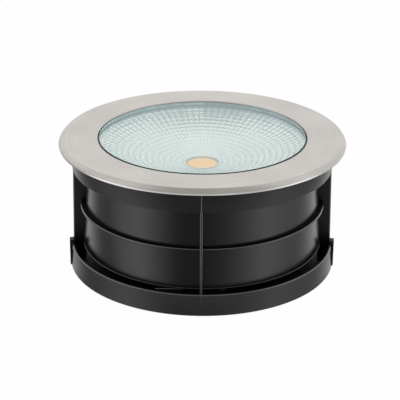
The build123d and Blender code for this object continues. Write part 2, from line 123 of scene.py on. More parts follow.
def spread(tree, value, low=0.0, high=1.0, start=0.0, end=1.0, curve="LINEAR"):
    """Map Range node that takes start..end to low..high; gives its output socket."""
    node = add_node(
        tree, "ShaderNodeMapRange", {"interpolation_type": curve},
        From_Min=start, From_Max=end, To_Min=low, To_Max=high)
    join(tree, value, node.inputs["Value"])
    return node.outputs["Result"]


def ramp(tree, value, *stops):
    """Color Ramp through (place, colour) stops; gives its colour socket."""
    node = tree.nodes.new("ShaderNodeValToRGB")
    elements = node.color_ramp.elements
    while len(elements) < len(stops):
        elements.new(0.5)
    for element, (place, colour) in zip(elements, stops):
        element.position = place
        element.color = (*colour, 1)
    join(tree, value, node.inputs["Fac"])
    return node.outputs["Color"]


print("node helpers ready")

# %% [markdown]
# ## Tools for places and shaders
# Many finishes ask where on the object a point lies. Object coordinates answer that and stay
# with the piece when it moves. The last tool mixes two shaders by a share from 0 to 1.

# %% Place and shader helpers
def place_on(tree, kind="Object"):
    """X, Y and Z sockets of a kind of texture coordinates."""
    place = tree.nodes.new("ShaderNodeTexCoord")
    parts = tree.nodes.new("ShaderNodeSeparateXYZ")
    join(tree, place.outputs[kind], parts.inputs[0])
    return [parts.outputs[axis] for axis in "XYZ"]


def squared_radius(tree, x, y):
    """Square of the distance from the upright axis."""
    return calculate(
        tree, "ADD", calculate(tree, "MULTIPLY", x, x), calculate(tree, "MULTIPLY", y, y))


def round_the_object(tree, x, y, levels, widen=None):
    """Grey by compass angle about the axis, through (degrees, level) stops; 0 is the front."""
    angle = calculate(tree, "ARCTAN2", x, calculate(tree, "MULTIPLY", y, -1.0))
    if widen:
        angle = calculate(tree, "MULTIPLY", angle, widen)
    share = calculate(tree, "ADD", calculate(tree, "DIVIDE", angle, 2 * math.pi), 0.5)
    stops = [((degrees + 180) / 360, (level,) * 3) for degrees, level in levels]
    return ramp(tree, share, *stops)


def mix_shaders(tree, share, first, second):
    """Mix Shader between two nodes by a share; gives the new node."""
    node = tree.nodes.new("ShaderNodeMixShader")
    join(tree, share, node.inputs["Fac"])
    join(tree, first.outputs[0], node.inputs[1])
    join(tree, second.outputs[0], node.inputs[2])
    return node


print("place and shader helpers ready")

# %% [markdown]
# ## The studio
# The photograph shows the lamp cut out on pure white. A floor that is simply white and lit
# would need so much lamp light that the steel burns out. Instead the floor's material asks the
# Light Path node what kind of ray has arrived: a ray from the camera or from glass sees nearly
# even white, a ray from a shiny surface sees a graded glow, and every other ray meets a plain
# pale floor, so the object keeps a soft shadow. Right under the object the floor stays plain
# for all rays, or it would shine up through the drain slots.
# Black plastic shows its shape only by what it mirrors. In reflections the floor is dim towards
# the camera and bright to the left and right of it, as on a table lit by two soft boxes. That
# draws the two broad upright highlights on the round sleeve, with a dark front between them.
# A round wall mirrors the floor near it less far round than the floor further off, so
# the angle is widened close to the object and the highlights of all walls line up.

# %% Floor material
FLOOR_GREY, FLOOR_SEEN = 0.84, 0.975
FLOOR_LEVELS = (
    (-180, 0.70), (-150, 0.80), (-136, 0.58), (-120, 0.26), (-100, 0.28), (-80, 0.74),
    (-60, 1.00), (-40, 0.50), (-24, 0.15), (-10, 0.12), (10, 0.15), (24, 0.27), (40, 0.52),
    (60, 0.92), (80, 0.69), (100, 0.46), (120, 0.54), (136, 0.78), (150, 0.95), (180, 0.70))
SHADED_RADIUS = 0.1165


def floor_material():
    """White to the camera, a graded glow in mirrors, plain and shadowed to other rays."""
    material = bpy.data.materials.new("pale_floor")
    material.use_nodes = True
    tree = material.node_tree
    tree.nodes.clear()
    x, y, _ = place_on(tree)
    squares = squared_radius(tree, x, y)
    in_the_open = calculate(tree, "GREATER_THAN", squares, SHADED_RADIUS ** 2)
    nearness = calculate(tree, "DIVIDE", SHADED_RADIUS ** 2, squares)
    grade = round_the_object(tree, x, y, FLOOR_LEVELS, calculate(tree, "ADD", nearness, 1.0))
    plain = add_node(tree, "ShaderNodeBsdfDiffuse", Color=(FLOOR_GREY,) * 3 + (1,))
    glow = tree.nodes.new("ShaderNodeEmission")
    join(tree, grade, glow.inputs["Color"])
    white = add_node(tree, "ShaderNodeEmission", Strength=1.0)
    ray = tree.nodes.new("ShaderNodeLightPath").outputs
    in_a_mirror = calculate(tree, "MULTIPLY", ray["Is Glossy Ray"], in_the_open)
    seen = calculate(tree, "MAXIMUM", ray["Is Camera Ray"], ray["Is Transmission Ray"])
    seen = calculate(tree, "MULTIPLY", calculate(tree, "MULTIPLY", seen, FLOOR_SEEN), in_the_open)
    surface = mix_shaders(tree, seen, mix_shaders(tree, in_a_mirror, plain, glow), white)
    output = tree.nodes.new("ShaderNodeOutputMaterial")
    join(tree, surface.outputs[0], output.inputs["Surface"])
    return material


pale_floor = floor_material()
print("floor graded through", len(FLOOR_LEVELS), "levels")

# %% Floor
FLOOR_REACH, FLOOR_DROP = 4.0, 0.0004

floor_bm = bmesh.new()
bmesh.ops.create_grid(floor_bm, x_segments=1, y_segments=1, size=FLOOR_REACH)
bmesh.ops.translate(floor_bm, verts=floor_bm.verts, vec=(0, 0, -FLOOR_DROP))
floor_mesh = bpy.data.meshes.new("floor")
floor_bm.to_mesh(floor_mesh)
floor_bm.free()
floor = bpy.data.objects.new("floor", floor_mesh)
floor_mesh.materials.append(pale_floor)
bpy.context.scene.collection.objects.link(floor)
print("floor", FLOOR_REACH * 2, "m wide")

# %% [markdown]
# ## The light
# The world is a big tent of light. Rays from the camera see it as plain white. For all other
# rays it is brightest behind the lamp, dimmer above and dimmest around the camera. The flat
# steel face mirrors the bright back of the tent, and its bevel the dim top and front, so the
# rim is drawn without any outline.

# %% World
TENT_LEVELS = (
    (-180, 0.98), (-122, 0.94), (-110, 0.86), (-98, 0.62), (-82, 0.96), (-68, 0.94),
    (-56, 0.80), (-38, 0.56), (-16, 0.50), (6, 0.50), (18, 0.62), (28, 0.50), (44, 0.47),
    (60, 0.72), (74, 0.96), (96, 0.98), (111, 0.78), (124, 0.90), (180, 0.98))
ZENITH_LEVEL = 0.40
ZENITH_START, ZENITH_FULL = 0.83, 0.98

world = bpy.data.worlds.new("light_tent")
bpy.context.scene.world = world
world.use_nodes = True
tree = world.node_tree
tree.nodes.clear()
x, y, z = place_on(tree, "Generated")
walls = tree.nodes.new("ShaderNodeBackground")
join(tree, round_the_object(tree, x, y, TENT_LEVELS), walls.inputs["Color"])
zenith = add_node(tree, "ShaderNodeBackground", Color=(ZENITH_LEVEL,) * 3 + (1,))
white_back = add_node(tree, "ShaderNodeBackground", Color=(1, 1, 1, 1))
overhead = spread(tree, z, start=ZENITH_START, end=ZENITH_FULL, curve="SMOOTHSTEP")
ray = tree.nodes.new("ShaderNodeLightPath").outputs
tent = mix_shaders(tree, overhead, walls, zenith)
shown = mix_shaders(tree, ray["Is Camera Ray"], tent, white_back)
world_output = tree.nodes.new("ShaderNodeOutputWorld")
join(tree, shown.outputs[0], world_output.inputs["Surface"])
tent_levels = [level for _, level in TENT_LEVELS]
print("tent from", min(tent_levels), "to", max(tent_levels))

# %% [markdown]
# ## Soft boxes
# Two soft boxes stand left and right of the camera. They only light: shiny surfaces do not show
# them, or the bevel would burn out in two white patches.

# %% Soft boxes
BOX_ASIDE, BOX_BACK, BOX_HIGH = 0.95, -0.60, 0.50
BOX_WIDTH, BOX_HEIGHT, BOX_POWER = 0.5, 0.8, 3.0
BOX_TARGET = Vector((0, 0, 0.06))

for name, side in (("soft_box_left", -1), ("soft_box_right", 1)):
    lamp_data = bpy.data.lights.new(name, "AREA")
    lamp_data.shape = "RECTANGLE"
    lamp_data.size, lamp_data.size_y, lamp_data.energy = BOX_WIDTH, BOX_HEIGHT, BOX_POWER
    lamp = bpy.data.objects.new(name, lamp_data)
    lamp.location = (side * BOX_ASIDE, BOX_BACK, BOX_HIGH)
    lamp.rotation_euler = (BOX_TARGET - lamp.location).to_track_quat("-Z", "Y").to_euler()
    lamp.visible_glossy = False
    bpy.context.scene.collection.objects.link(lamp)

# %% [markdown]
# ## Shared surface effects
# Three effects turn up on many finishes, so each is a node group that is built once.
# "Turned brushing" is the fine circular grain that a lathe or a spinning belt leaves: noise that
# changes fast along the radius and slowly round the circle. The angle itself would leave a
# seam where it jumps from -180 to 180 degrees, so the group feeds its cosine and sine instead.
# "Moulded grain" is the fine texture of a plastic or cast skin. "Soft mottle" is the slow,
# faint unevenness that keeps a large surface from looking painted.

# %% Shader groups
def new_group(name, **inputs):
    """Empty shader group with float inputs and the outputs Grain and Height."""
    group = bpy.data.node_groups.new(name, "ShaderNodeTree")
    for label, default in inputs.items():
        socket = group.interface.new_socket(label, in_out="INPUT", socket_type="NodeSocketFloat")
        socket.default_value = default
    for label in ("Grain", "Height"):
        group.interface.new_socket(label, in_out="OUTPUT", socket_type="NodeSocketFloat")
    return group, group.nodes.new("NodeGroupInput").outputs


def put_out(group, value):
    """Send one value to both outputs of a group."""
    result = group.nodes.new("NodeGroupOutput")
    for label in ("Grain", "Height"):
        join(group, value, result.inputs[label])


def turned_brushing_group():
    """Grain of Lines per metre along the radius, stretched over Arc round the axis."""
    group, given = new_group("turned_brushing", Lines=900.0, Arc=3.0)
    x, y, z = place_on(group)
    angle = calculate(group, "ARCTAN2", y, x)
    radius = calculate(group, "SQRT", squared_radius(group, x, y))
    along = calculate(group, "SUBTRACT", radius, z)
    place = group.nodes.new("ShaderNodeCombineXYZ")
    join(group, calculate(group, "MULTIPLY", along, given["Lines"]), place.inputs["X"])
    for axis, wave in (("Y", "COSINE"), ("Z", "SINE")):
        turn_part = calculate(group, wave, angle)
        join(group, calculate(group, "MULTIPLY", turn_part, given["Arc"]), place.inputs[axis])
    noise = add_node(group, "ShaderNodeTexNoise", Scale=1.0, Detail=4.0, Roughness=0.6)
    join(group, place.outputs[0], noise.inputs["Vector"])
    put_out(group, noise.outputs["Fac"])
    return group


def grain_group(name, scale, detail, roughness):
    """Even noise on Object coordinates."""
    group, given = new_group(name, Scale=scale)
    place = group.nodes.new("ShaderNodeTexCoord")
    noise = add_node(group, "ShaderNodeTexNoise", Detail=detail, Roughness=roughness)
    join(group, place.outputs["Object"], noise.inputs["Vector"])
    join(group, given["Scale"], noise.inputs["Scale"])
    put_out(group, noise.outputs["Fac"])
    return group


turned_brushing = turned_brushing_group()
moulded_grain = grain_group("moulded_grain", scale=1400.0, detail=2.0, roughness=0.5)
soft_mottle = grain_group("soft_mottle", scale=18.0, detail=3.0, roughness=0.55)
print("groups:", [g.name for g in bpy.data.node_groups])

# %% [markdown]
# ## One recipe for a finish
# Most finishes differ only in colour, gloss and which effects they carry. One function makes
# such a material: a colour that wanders between two shades, a roughness that follows the fine
# grain, and a bump whose depth is given in metres. Metals and plastics then take one call each.

# %% Finish recipe
DARK_STOP, LIGHT_STOP = 0.32, 0.68


def place_group(tree, group, **values):
    """Group node in a material with its own input values."""
    node = tree.nodes.new("ShaderNodeGroup")
    node.node_tree = group
    for key, value in values.items():
        node.inputs[key].default_value = value
    return node.outputs


def new_material(name):
    """Material with one Principled shader; gives (material, tree, shader)."""
    material = bpy.data.materials.new(name)
    material.use_nodes = True
    tree = material.node_tree
    return material, tree, tree.nodes["Principled BSDF"]


def follow_grain(tree, shader, fine, rough, bump):
    """Roughness, and where there is one a bump, that follow a fine grain."""
    join(tree, spread(tree, fine["Grain"], *rough), shader.inputs["Roughness"])
    if bump:
        relief = add_node(tree, "ShaderNodeBump", Strength=1.0, Distance=bump)
        join(tree, fine["Height"], relief.inputs["Height"])
        join(tree, relief.outputs["Normal"], shader.inputs["Normal"])


def finish_material(
        name, dark, light, rough, effect, effect_values=None, bump=0.0, mottle=18.0, **constants):
    """Finish whose colour wanders from dark to light and whose roughness follows a grain."""
    material, tree, shader = new_material(name)
    slow = place_group(tree, soft_mottle, Scale=mottle)
    fine = place_group(tree, effect, **(effect_values or {}))
    half = calculate(tree, "MULTIPLY", slow["Grain"], 0.5)
    both = calculate(tree, "MULTIPLY_ADD", fine["Grain"], 0.5, half)
    shade = ramp(tree, both, (DARK_STOP, dark), (LIGHT_STOP, light))
    join(tree, shade, shader.inputs["Base Color"])
    follow_grain(tree, shader, fine, rough, bump)
    for key, value in constants.items():
        shader.inputs[key.replace("_", " ")].default_value = value
    return material


print("finish recipe ready")

# %% [markdown]
# ## Metals
# The face is stainless steel with a fine satin brushing. It mirrors the tent softly, so
# nearly all of its look is in the roughness. Its thin lip is polished, and its colour is painted
# far paler than steel as a painted highlight along the lip. The housing is a rough casting, and
# screws and springs are darker steel.

# %% Metal finishes
stainless = finish_material(
    "stainless_satin", (0.535, 0.506, 0.478), (0.665, 0.632, 0.597), (0.24, 0.36),
    turned_brushing, {"Lines": 480.0, "Arc": 2.2}, bump=0.000004, Metallic=1.0, Anisotropic=0.35)
# Painted highlight: the lip's colour is far paler than steel; its low roughness is polish.
lip_polish_and_highlight = finish_material(
    "lip_polish_and_highlight", (0.90, 0.89, 0.87), (0.97, 0.96, 0.94), (0.10, 0.20),
    turned_brushing, bump=0.000002, Metallic=1.0)
cast_alloy = finish_material(
    "cast_alloy", (0.33, 0.335, 0.34), (0.45, 0.455, 0.46), (0.42, 0.66),
    moulded_grain, {"Scale": 700.0}, bump=0.00004, Metallic=1.0)
screw_steel = finish_material(
    "screw_steel", (0.50, 0.49, 0.47), (0.66, 0.65, 0.63), (0.22, 0.42),
    turned_brushing, {"Lines": 2500.0}, bump=0.000004, Metallic=1.0)
spring_steel = finish_material(
    "spring_steel", (0.42, 0.41, 0.39), (0.58, 0.57, 0.55), (0.24, 0.40),
    moulded_grain, {"Scale": 900.0}, bump=0.000006, Metallic=1.0)
print("metal finishes made")

# %% [markdown]
# ## Plastic and rubber
# The sleeve is black plastic in nearly one colour but not in one gloss: the tube is glossy, the
# collar satin. The base ring is satin too, in a paler copy painted a shade greyer for the light
# it catches. Rounded edges get a paler, shinier finish that paints a highlight on them, flat
# ledges facing up a darker, duller one that paints shade on them, and the flash on the parting
# line is painted grey as a highlight. Rubber is duller. The gasket under the glass is clear
# silicone. It is painted darker the nearer it is to the glass, as painted shade, so its colour
# runs with the height.

# %% Plastic and rubber finishes
sleeve_black = finish_material(
    "sleeve_black", (0.0026, 0.0026, 0.0028), (0.0046, 0.0046, 0.0048), (0.18, 0.30),
    moulded_grain, bump=0.00001, Specular_IOR_Level=0.875)
sleeve_satin = finish_material(
    "sleeve_satin", (0.0130, 0.0130, 0.0134), (0.0172, 0.0172, 0.0176), (0.22, 0.34),
    moulded_grain, bump=0.00001, Specular_IOR_Level=0.46)
# A paler copy of the satin for the base ring: painted lighter for the light it catches.
ring_satin_painted_lighter = finish_material(
    "ring_satin_painted_lighter", (0.0205, 0.0205, 0.0209), (0.0260, 0.0260, 0.0264), (0.22, 0.34),
    moulded_grain, bump=0.00001, Specular_IOR_Level=0.46)
# Painted highlight: a paler base and a stronger specular make rounded edges light up.
edge_painted_highlight = finish_material(
    "edge_painted_highlight", (0.012, 0.012, 0.0125), (0.022, 0.022, 0.0225), (0.14, 0.24),
    moulded_grain, bump=0.00001, IOR=1.7, Specular_IOR_Level=1.0)
# Painted shade: flat ledges facing up, such as the top of the hoop, are painted near black and
# dull.
ledge_painted_shade = finish_material(
    "ledge_painted_shade", (0.0010, 0.0010, 0.0011), (0.0020, 0.0020, 0.0021), (0.55, 0.75),
    moulded_grain, bump=0.00002, Specular_IOR_Level=0.10)
cover_black = finish_material(
    "cover_black", (0.0040, 0.0040, 0.0042), (0.0070, 0.0070, 0.0072), (0.36, 0.52),
    moulded_grain, bump=0.00002, Specular_IOR_Level=0.25)
# Painted highlight: the flash on the collar is painted grey to show as a bright line.
flash_painted_highlight = finish_material(
    "flash_painted_highlight", (0.105, 0.105, 0.108), (0.150, 0.150, 0.154), (0.30, 0.50),
    moulded_grain, {"Scale": 2200.0}, bump=0.00001)
gland_black = finish_material(
    "gland_black", (0.010, 0.010, 0.011), (0.022, 0.022, 0.023), (0.34, 0.55),
    moulded_grain, {"Scale": 1200.0}, bump=0.00002)
seal_rubber = finish_material(
    "seal_rubber", (0.016, 0.016, 0.017), (0.030, 0.030, 0.031), (0.55, 0.80),
    moulded_grain, {"Scale": 1100.0}, bump=0.00003)
print("plastic and rubber finishes made")

# %% Clear silicone
# Painted shade: the silicone is painted darker the nearer it is to the glass.
SILICONE_LOW, SILICONE_HIGH = 103.8, 108.0
SILICONE_PALE, SILICONE_SHADED = (0.44, 0.60, 0.64), (0.15, 0.255, 0.295)


def silicone_material():
    """Clear silicone whose colour runs from pale to a painted shade up the object."""
    material, tree, shader = new_material("clear_silicone")
    fine = place_group(tree, moulded_grain, Scale=900.0)
    _, _, height = place_on(tree)
    share = spread(tree, height, start=SILICONE_LOW * MM, end=SILICONE_HIGH * MM)
    shade = ramp(tree, share, (0.0, SILICONE_PALE), (1.0, SILICONE_SHADED))
    join(tree, shade, shader.inputs["Base Color"])
    follow_grain(tree, shader, fine, rough=(0.35, 0.55), bump=0.00001)
    return material


clear_silicone = silicone_material()
print("silicone runs over", round(SILICONE_HIGH - SILICONE_LOW, 1), "mm")

# %% [markdown]
# ## Inside the lamp
# The light source is a round field of phosphor on a white ceramic board. Its peach is
# that of phosphor with the lamp off, finely granular. It also gets some emission, a painted glow
# that makes up for the little light that reaches it under the glass. Around it are a white
# holder, a grey heat pad, a pale driver case and a terminal block, which show only when the lamp
# is opened. The reflector is bright metal with a softer rim.

# %% Inner finishes
# Painted glow: the phosphor's emission makes up for light that hardly reaches it.
phosphor = finish_material(
    "led_phosphor", (0.90, 0.52, 0.19), (1.00, 0.64, 0.28), (0.30, 0.50),
    moulded_grain, {"Scale": 1600.0}, bump=0.00003, mottle=120.0,
    Emission_Color=(1.0, 0.47, 0.17, 1), Emission_Strength=0.44)
led_board = finish_material(
    "led_board", (0.78, 0.79, 0.77), (0.90, 0.90, 0.88), (0.28, 0.44),
    moulded_grain, bump=0.00001)
holder_white = finish_material(
    "holder_white", (0.74, 0.75, 0.73), (0.86, 0.87, 0.85), (0.36, 0.56),
    moulded_grain, bump=0.00002)
pad_grey = finish_material(
    "pad_grey", (0.20, 0.21, 0.22), (0.30, 0.31, 0.32), (0.60, 0.85),
    moulded_grain, {"Scale": 800.0}, bump=0.00003)
driver_case = finish_material(
    "driver_case", (0.66, 0.67, 0.66), (0.78, 0.79, 0.78), (0.36, 0.55),
    moulded_grain, bump=0.00002)
terminal_white = finish_material(
    "terminal_white", (0.62, 0.62, 0.58), (0.74, 0.74, 0.70), (0.34, 0.50),
    moulded_grain, bump=0.00002)
reflector_bright = finish_material(
    "reflector_bright", (0.89, 0.91, 0.91), (0.95, 0.97, 0.97), (0.12, 0.20),
    moulded_grain, {"Scale": 500.0}, bump=0.000003, Metallic=1.0)
reflector_rim = finish_material(
    "reflector_rim", (0.92, 0.94, 0.94), (0.97, 0.98, 0.98), (0.24, 0.32),
    moulded_grain, bump=0.000003, Metallic=1.0)
print("inner finishes made")

# %% [markdown]
# ## Glass
# The lens is one thick disc of float glass with a step round its edge. Glass blocks the
# straight rays that Cycles uses to find lamps, so what lies below would turn dark. A Mix Shader
# therefore lets shadow rays through a faintly green Transparent shader, while every other ray
# meets real refracting glass. The rim of such a disc looks far greener than its face, because
# the eye looks along it: the ground rim and the little polished arris get finishes of their
# own. Glass also carries light sideways to its hidden flange, which then glows. Cycles rarely
# finds such a path, so the flange gets that light as emission; it only shows mirrored in the
# dish.

# %% Glass finishes
def lens_material():
    """Refracting glass that lets shadow rays pass."""
    material, tree, shader = new_material("lens_glass")
    shader.inputs["Base Color"].default_value = (0.885, 0.948, 0.930, 1)
    shader.inputs["Transmission Weight"].default_value = 1.0
    shader.inputs["IOR"].default_value = 1.5
    smears = place_group(tree, soft_mottle, Scale=30.0)
    join(tree, spread(tree, smears["Grain"], 0.0, 0.02), shader.inputs["Roughness"])
    through = add_node(tree, "ShaderNodeBsdfTransparent", Color=(0.82, 0.90, 0.87, 1))
    ray = tree.nodes.new("ShaderNodeLightPath").outputs
    surface = mix_shaders(tree, ray["Is Shadow Ray"], shader, through)
    join(tree, surface.outputs[0], tree.nodes["Material Output"].inputs["Surface"])
    return material


lens_glass = lens_material()
lens_rim = finish_material(
    "lens_rim", (0.030, 0.075, 0.062), (0.055, 0.115, 0.098), (0.20, 0.34),
    moulded_grain, {"Scale": 1500.0}, bump=0.00001)
lens_arris = finish_material(
    "lens_arris", (0.004, 0.034, 0.020), (0.012, 0.056, 0.036), (0.12, 0.24),
    moulded_grain, {"Scale": 1500.0}, bump=0.000004, Specular_IOR_Level=0.15)
lens_flange = finish_material(
    "lens_flange", (0.30, 0.40, 0.37), (0.38, 0.48, 0.45), (0.30, 0.50),
    moulded_grain, Emission_Color=(0.88, 0.97, 0.94, 1), Emission_Strength=1.15)
print("glass finishes made")

# %% [markdown]
# ## Turning a profile on the lathe
# Nearly every piece here is round, so it is made as on a lathe: a flat outline with its corners
# rounded, spun about the upright axis. Rounding the outline with a vertex bevel first is cheaper
# and cleaner than beveling long circular edges afterwards. After the spin the doubled seam is
# merged and the normals are made to point outwards. Edges that bend by more than a set angle
# are marked sharp, and everything else is shaded smooth.

# %% Lathe helpers
LATHE_STEPS, FINE_STEPS = 240, 360
CREASE_ANGLE = math.radians(32)
SEAM_GAP = 1e-7


def set_shading(bm, crease=CREASE_ANGLE):
    """Smooth faces with sharp edges where the surface bends strongly."""
    for face in bm.faces:
        face.smooth = True
    for edge in bm.edges:
        if len(edge.link_faces) == 2:
            edge.smooth = edge.calc_face_angle(0.0) < crease


def turn_outline(corners, steps=LATHE_STEPS, segments=3):
    """bmesh turned from corners in mm: (radius, height) or (radius, height, rounding)."""
    bm = bmesh.new()
    by_size = {}
    for radius, height, *rounding in corners:
        vert = bm.verts.new((radius * MM, 0, height * MM))
        for size in rounding:
            by_size.setdefault(size, []).append(vert)
    bm.faces.new(bm.verts[:])
    for size, chosen in by_size.items():
        bmesh.ops.bevel(
            bm, geom=chosen, offset=size * MM, offset_type="OFFSET", affect="VERTICES",
            segments=segments, profile=0.5, material=-1)
    bmesh.ops.delete(bm, geom=bm.faces[:], context="FACES_ONLY")
    bmesh.ops.spin(
        bm, geom=bm.verts[:] + bm.edges[:], cent=(0, 0, 0), axis=(0, 0, 1), angle=2 * math.pi,
        steps=steps, use_merge=True)
    bmesh.ops.remove_doubles(bm, verts=bm.verts[:], dist=SEAM_GAP)
    bmesh.ops.recalc_face_normals(bm, faces=bm.faces[:])
    return bm


def set_slots(bm, slot_of):
    """Give each face the material slot that a function names for it."""
    for face in bm.faces:
        face.material_index = slot_of(face)


def make_piece(name, bm, body, slot, *materials):
    """Object from a bmesh, riding on a body; the slot argument is not used."""
    mesh = bpy.data.meshes.new(name)
    bm.to_mesh(mesh)
    bm.free()
    for material in materials:
        mesh.materials.append(material)
    piece = bpy.data.objects.new(name, mesh)
    bpy.context.scene.collection.objects.link(piece)
    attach(piece, body)
    print(name, len(mesh.polygons), "faces")
    return piece


print("lathe steps:", LATHE_STEPS, "or", FINE_STEPS)

# %% [markdown]
# ## The steel face
# The face is a flat ring whose outer edge falls away in a softly convex bevel and ends in a thin
# turned-down lip. Its inner edge lies on the step of the glass, with a small chamfer round the
# opening, so that the dark edge of the glass shows all round. A skirt below goes round the
# glass. The CAD solid has nearly the same outline, but its bevel is cut into coarse triangles
# that would show in every reflection. Turning it again with fine steps gives clean highlights.

# %% Steel face
face_low, face_high = (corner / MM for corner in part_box("face_ring"))
FACE_RADIUS, FACE_TOP, SKIRT_BOTTOM = face_high.x, face_high.z, face_low.z
OPENING_RADIUS, SEAT_RADIUS, SKIRT_RADIUS, LIP_INNER = 91.2, 97.9, 106.7, 122.5
SEAT_HEIGHT, FLANGE_UNDER, LIP_BOTTOM = 112.5, 113.0, 111.0
CHAMFER_WIDTH, CHAMFER_DEPTH, EDGE_ROUND = 1.0, 0.5, 0.3
BEVEL_CURVE = [
    (121.8, FACE_TOP), (122.8, 115.1), (123.6, 114.15), (124.22, 113.19), (124.72, 112.16),
    (FACE_RADIUS, 111.15)]
LIP_FROM, UNDERSIDE = 124.75, -0.5
FACE_CREASE = math.radians(10)


def face_slot(face):
    """0 satin face, 1 polished lip with a painted highlight."""
    on_lip = face.calc_center_median().xy.length / MM > LIP_FROM
    return int(on_lip and face.normal.z > UNDERSIDE)


face_bm = turn_outline([
    (OPENING_RADIUS + CHAMFER_WIDTH, FACE_TOP), *BEVEL_CURVE, (FACE_RADIUS, LIP_BOTTOM),
    (LIP_INNER, LIP_BOTTOM, EDGE_ROUND), (LIP_INNER, FLANGE_UNDER), (SKIRT_RADIUS, FLANGE_UNDER),
    (SKIRT_RADIUS, SKIRT_BOTTOM, EDGE_ROUND), (SEAT_RADIUS, SKIRT_BOTTOM),
    (SEAT_RADIUS, SEAT_HEIGHT), (OPENING_RADIUS, SEAT_HEIGHT),
    (OPENING_RADIUS, FACE_TOP - CHAMFER_DEPTH)], steps=FINE_STEPS)
set_slots(face_bm, face_slot)
set_shading(face_bm, FACE_CREASE)
face_plate = make_piece("face_plate", face_bm, "lamp", "stainless_face", stainless, lip_polish_and_highlight)
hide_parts("face_ring")

# %% [markdown]
# ## The lens
# A thick disc with a step, so that its upper part fills the opening of the face and its flange is
# held below. Each outer edge has a small chamfer. The faces are told apart after the
# turning by which way they look: up and down is clear glass, sideways is the ground rim, and
# the slanted ones between are the arris. The flange is told by its place.

# %% Lens
lens_low, lens_high = (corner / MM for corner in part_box("glass_lens"))
LENS_FLANGE, LENS_BOTTOM = lens_high.x, lens_low.z
LENS_RADIUS, LENS_STEP = 91.1, 112.0
TOP_ARRIS, FLANGE_ARRIS = 1.3, 0.6
LEVEL_TILT, UPRIGHT_TILT, BOTTOM_SKIN = 0.9, 0.2, 0.1
ON_AXIS = 1e-6
LENS_CREASE = math.radians(20)


def lens_slot(face):
    """0 clear glass, 1 ground rim, 2 arris, 3 glowing flange."""
    middle = face.calc_center_median() / MM
    if middle.xy.length > LENS_RADIUS and middle.z > LENS_BOTTOM + BOTTOM_SKIN:
        return 3
    tilt = abs(face.normal.z)
    return 0 if tilt > LEVEL_TILT else (1 if tilt < UPRIGHT_TILT else 2)


lens_bm = turn_outline([
    (0, LENS_BOTTOM), (LENS_FLANGE, LENS_BOTTOM, FLANGE_ARRIS),
    (LENS_FLANGE, LENS_STEP, FLANGE_ARRIS), (LENS_RADIUS, LENS_STEP),
    (LENS_RADIUS, FACE_TOP - TOP_ARRIS), (LENS_RADIUS - TOP_ARRIS, FACE_TOP), (0, FACE_TOP)],
    steps=FINE_STEPS, segments=1)
axis_edges = [e for e in lens_bm.edges if all(v.co.xy.length < ON_AXIS for v in e.verts)]
bmesh.ops.delete(lens_bm, geom=axis_edges, context="EDGES")
set_slots(lens_bm, lens_slot)
set_shading(lens_bm, LENS_CREASE)
lens = make_piece(
    "lens", lens_bm, "lamp", "clear_glass", lens_glass, lens_rim, lens_arris, lens_flange)
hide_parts("glass_lens")

# %% [markdown]
# ## The faceted reflector
# This is the piece that gives the lamp its sparkle: a dish pressed into rings of small
# cushions, each of which mirrors the whole tent of light in miniature. The dish could be spun
# finely and dented afterwards. Here it is spun in coarse steps, one for each column, so that the
# spin itself lays out the facets. Only its neck and its flat flange stay plain.

# %% Reflector dish
DISH_IN, DISH_OUT, DISH_LOW, DISH_RISE, DISH_START = 14.7, 91.0, 85.7, 17.8, 0.35
FACET_IN = 17.5
DISH_RINGS, DISH_COLUMNS = 14, 90
DISH_FLANGE, DISH_WALL = 93.6, 1.0
NECK_OUT, NECK_BOTTOM, NECK_EDGE = 17.2, 84.5, 0.2
RING_STEP = (DISH_OUT - FACET_IN) / DISH_RINGS
COLUMN_ANGLE = 2 * math.pi / DISH_COLUMNS
TOUCHING = 0.001


def dish_height(radius):
    """Height of the dish at a radius, both in mm."""
    share = (radius - DISH_IN) / (DISH_OUT - DISH_IN)
    return DISH_LOW + DISH_RISE * (DISH_START * share + (1 - DISH_START) * share ** 2)


def on_facets(vert):
    """Whether a vertex lies on the faceted part of the dish's upper side."""
    radius = vert.co.xy.length / MM
    in_rings = FACET_IN - TOUCHING < radius < DISH_OUT + TOUCHING
    return in_rings and abs(vert.co.z / MM - dish_height(radius)) < TOUCHING


ring_radii = [FACET_IN + ring * RING_STEP for ring in range(DISH_RINGS + 1)]
front = [(radius, dish_height(radius)) for radius in [DISH_IN, *ring_radii]]
back = [(r + DISH_WALL, height - DISH_WALL) for r, height in front if r > NECK_OUT]
dish_top = front[-1][1]
dish_bm = turn_outline([
    *front, (DISH_FLANGE, dish_top), (DISH_FLANGE, dish_top - DISH_WALL), *back[::-1],
    (NECK_OUT, NECK_BOTTOM + NECK_EDGE), (NECK_OUT, NECK_BOTTOM), (DISH_IN, NECK_BOTTOM)],
    steps=DISH_COLUMNS)
facets = {f for f in dish_bm.faces if all(on_facets(v) for v in f.verts)}
borders = [e for e in dish_bm.edges if not facets.isdisjoint(e.link_faces)]
set_shading(dish_bm)
for border in borders:
    border.smooth = False
print("facets", len(facets))

# %% [markdown]
# ## The cushions
# Flat facets would each show one even grey. So every facet is cut into a four by four grid and
# its middle is raised like a pillow. The borders of the facets stay where they are, and they
# are already marked sharp. The outermost ring gets the softer finish.

# %% Cushions
CUSHION = 0.11
GRID_CUTS = 3
LEAST_LIFT = 1e-8


def facet_place(vert):
    """Shares across its ring and across its column for a vertex of a facet."""
    column = (math.atan2(vert.co.y, vert.co.x) / COLUMN_ANGLE) % 1.0
    bulge = math.cos((column - 0.5) * COLUMN_ANGLE) / math.cos(COLUMN_ANGLE / 2)
    straight = vert.co.xy.length / MM * bulge
    return ((straight - FACET_IN) / RING_STEP) % 1.0, column


def dish_slot(face):
    """0 bright dish, 1 softer rim."""
    return int(face.calc_center_median().xy.length / MM > DISH_OUT - RING_STEP)


